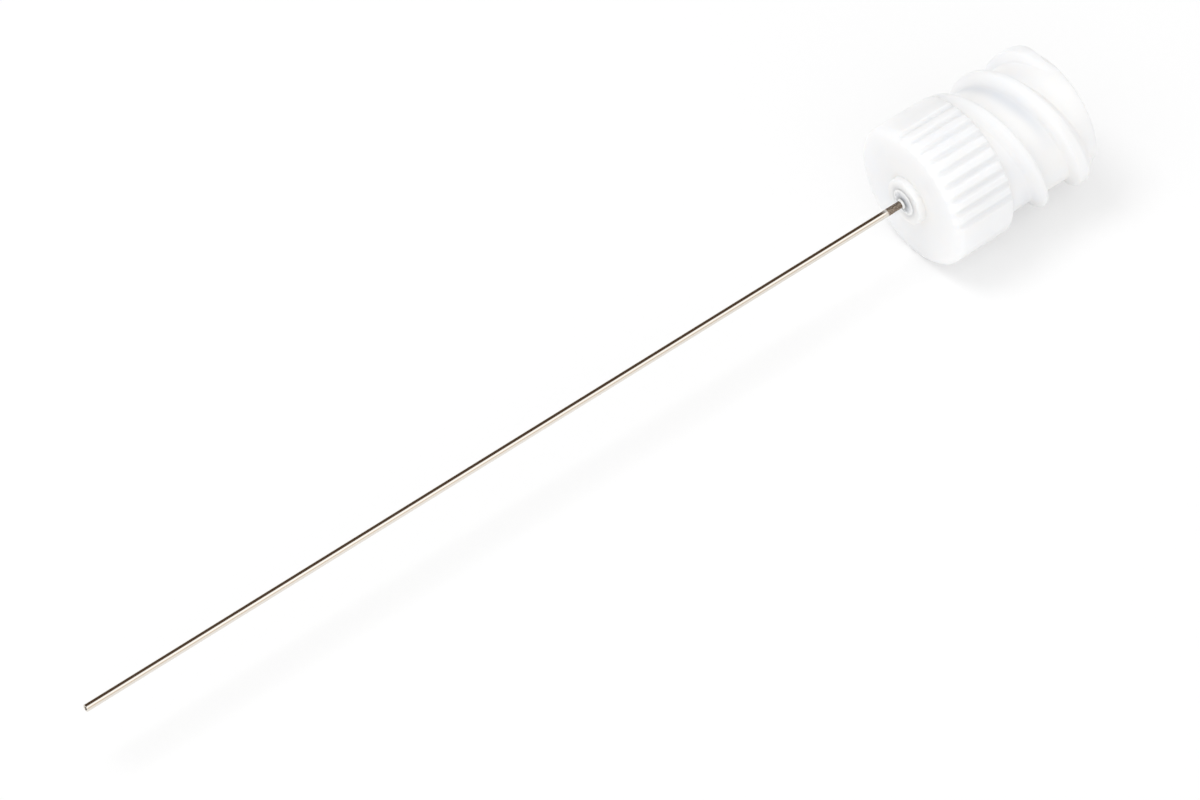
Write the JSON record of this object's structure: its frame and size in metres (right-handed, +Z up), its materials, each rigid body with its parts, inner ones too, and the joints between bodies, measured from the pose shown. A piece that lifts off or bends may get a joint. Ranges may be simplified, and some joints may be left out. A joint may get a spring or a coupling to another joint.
{
  "type": "dispensing needle tip",
  "caption": "Blunt steel dispensing needle bonded into a moulded luer lock hub with a ribbed collar, external lock thread and tapered socket.",
  "frame": {"origin": "centre of the socket's mouth, in the plane of the hub's rear face", "axes": "+X along the socket's axis, out of its mouth, with the cannula pointing along -X; +Z up as the part lies on its collar"},
  "size_m": [0.0624, 0.008, 0.008],
  "materials": {
    "hub_plastic": "natural polypropylene, translucent, fine satin mould finish",
    "cannula_steel": "bright drawn stainless steel, with a matt roughened band beside the hub",
    "bond_adhesive": "clear cured adhesive, glossy"
  },
  "bodies": {
    "root": {"hub": "hub_plastic", "cannula": "cannula_steel", "adhesive_bond": "bond_adhesive"}
  },
  "joints": []
}
